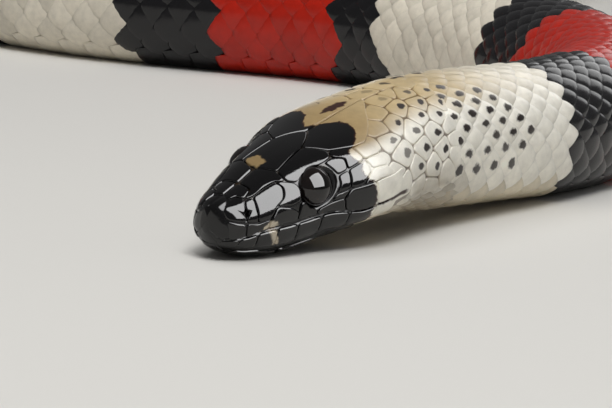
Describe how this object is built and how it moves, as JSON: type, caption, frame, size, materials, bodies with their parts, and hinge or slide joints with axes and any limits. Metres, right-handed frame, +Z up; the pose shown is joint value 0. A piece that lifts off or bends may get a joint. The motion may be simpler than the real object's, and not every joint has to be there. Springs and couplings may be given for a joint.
{
  "type": "milk snake model",
  "caption": "Life-size still model of a banded milk snake lying in loose bends on the floor, blunt head turned to one side, plated head and stepped belly scutes",
  "frame": {"origin": "bottom centre of the bounding box, on the floor under the middle of the coil", "axes": "+X to the right of someone facing the head from in front, +Y away from the head across the coil, +Z up"},
  "size_m": [0.1208, 0.2949, 0.0158],
  "materials": {
    "head": "smooth glossy scaled skin",
    "lower_jaw": "smooth glossy scaled skin",
    "eye_left": "wet glossy eye",
    "eye_right": "wet glossy eye",
    "neck": "smooth glossy scaled skin",
    "trunk_01": "smooth glossy scaled skin",
    "trunk_02": "smooth glossy scaled skin",
    "trunk_03": "smooth glossy scaled skin",
    "trunk_04": "smooth glossy scaled skin",
    "trunk_05": "smooth glossy scaled skin",
    "trunk_06": "smooth glossy scaled skin",
    "trunk_07": "smooth glossy scaled skin",
    "trunk_08": "smooth glossy scaled skin",
    "trunk_09": "smooth glossy scaled skin",
    "trunk_10": "smooth glossy scaled skin",
    "trunk_11": "smooth glossy scaled skin",
    "trunk_12": "smooth glossy scaled skin",
    "tail_base": "smooth glossy scaled skin",
    "tail_middle": "smooth glossy scaled skin",
    "tail_tip": "smooth glossy scaled skin"
  },
  "bodies": {
    "root": {"head": "head", "lower_jaw": "lower_jaw", "eye_left": "eye_left", "eye_right": "eye_right", "neck": "neck", "trunk_01": "trunk_01", "trunk_02": "trunk_02", "trunk_03": "trunk_03", "trunk_04": "trunk_04", "trunk_05": "trunk_05", "trunk_06": "trunk_06", "trunk_07": "trunk_07", "trunk_08": "trunk_08", "trunk_09": "trunk_09", "trunk_10": "trunk_10", "trunk_11": "trunk_11", "trunk_12": "trunk_12", "tail_base": "tail_base", "tail_middle": "tail_middle", "tail_tip": "tail_tip"}
  },
  "joints": []
}
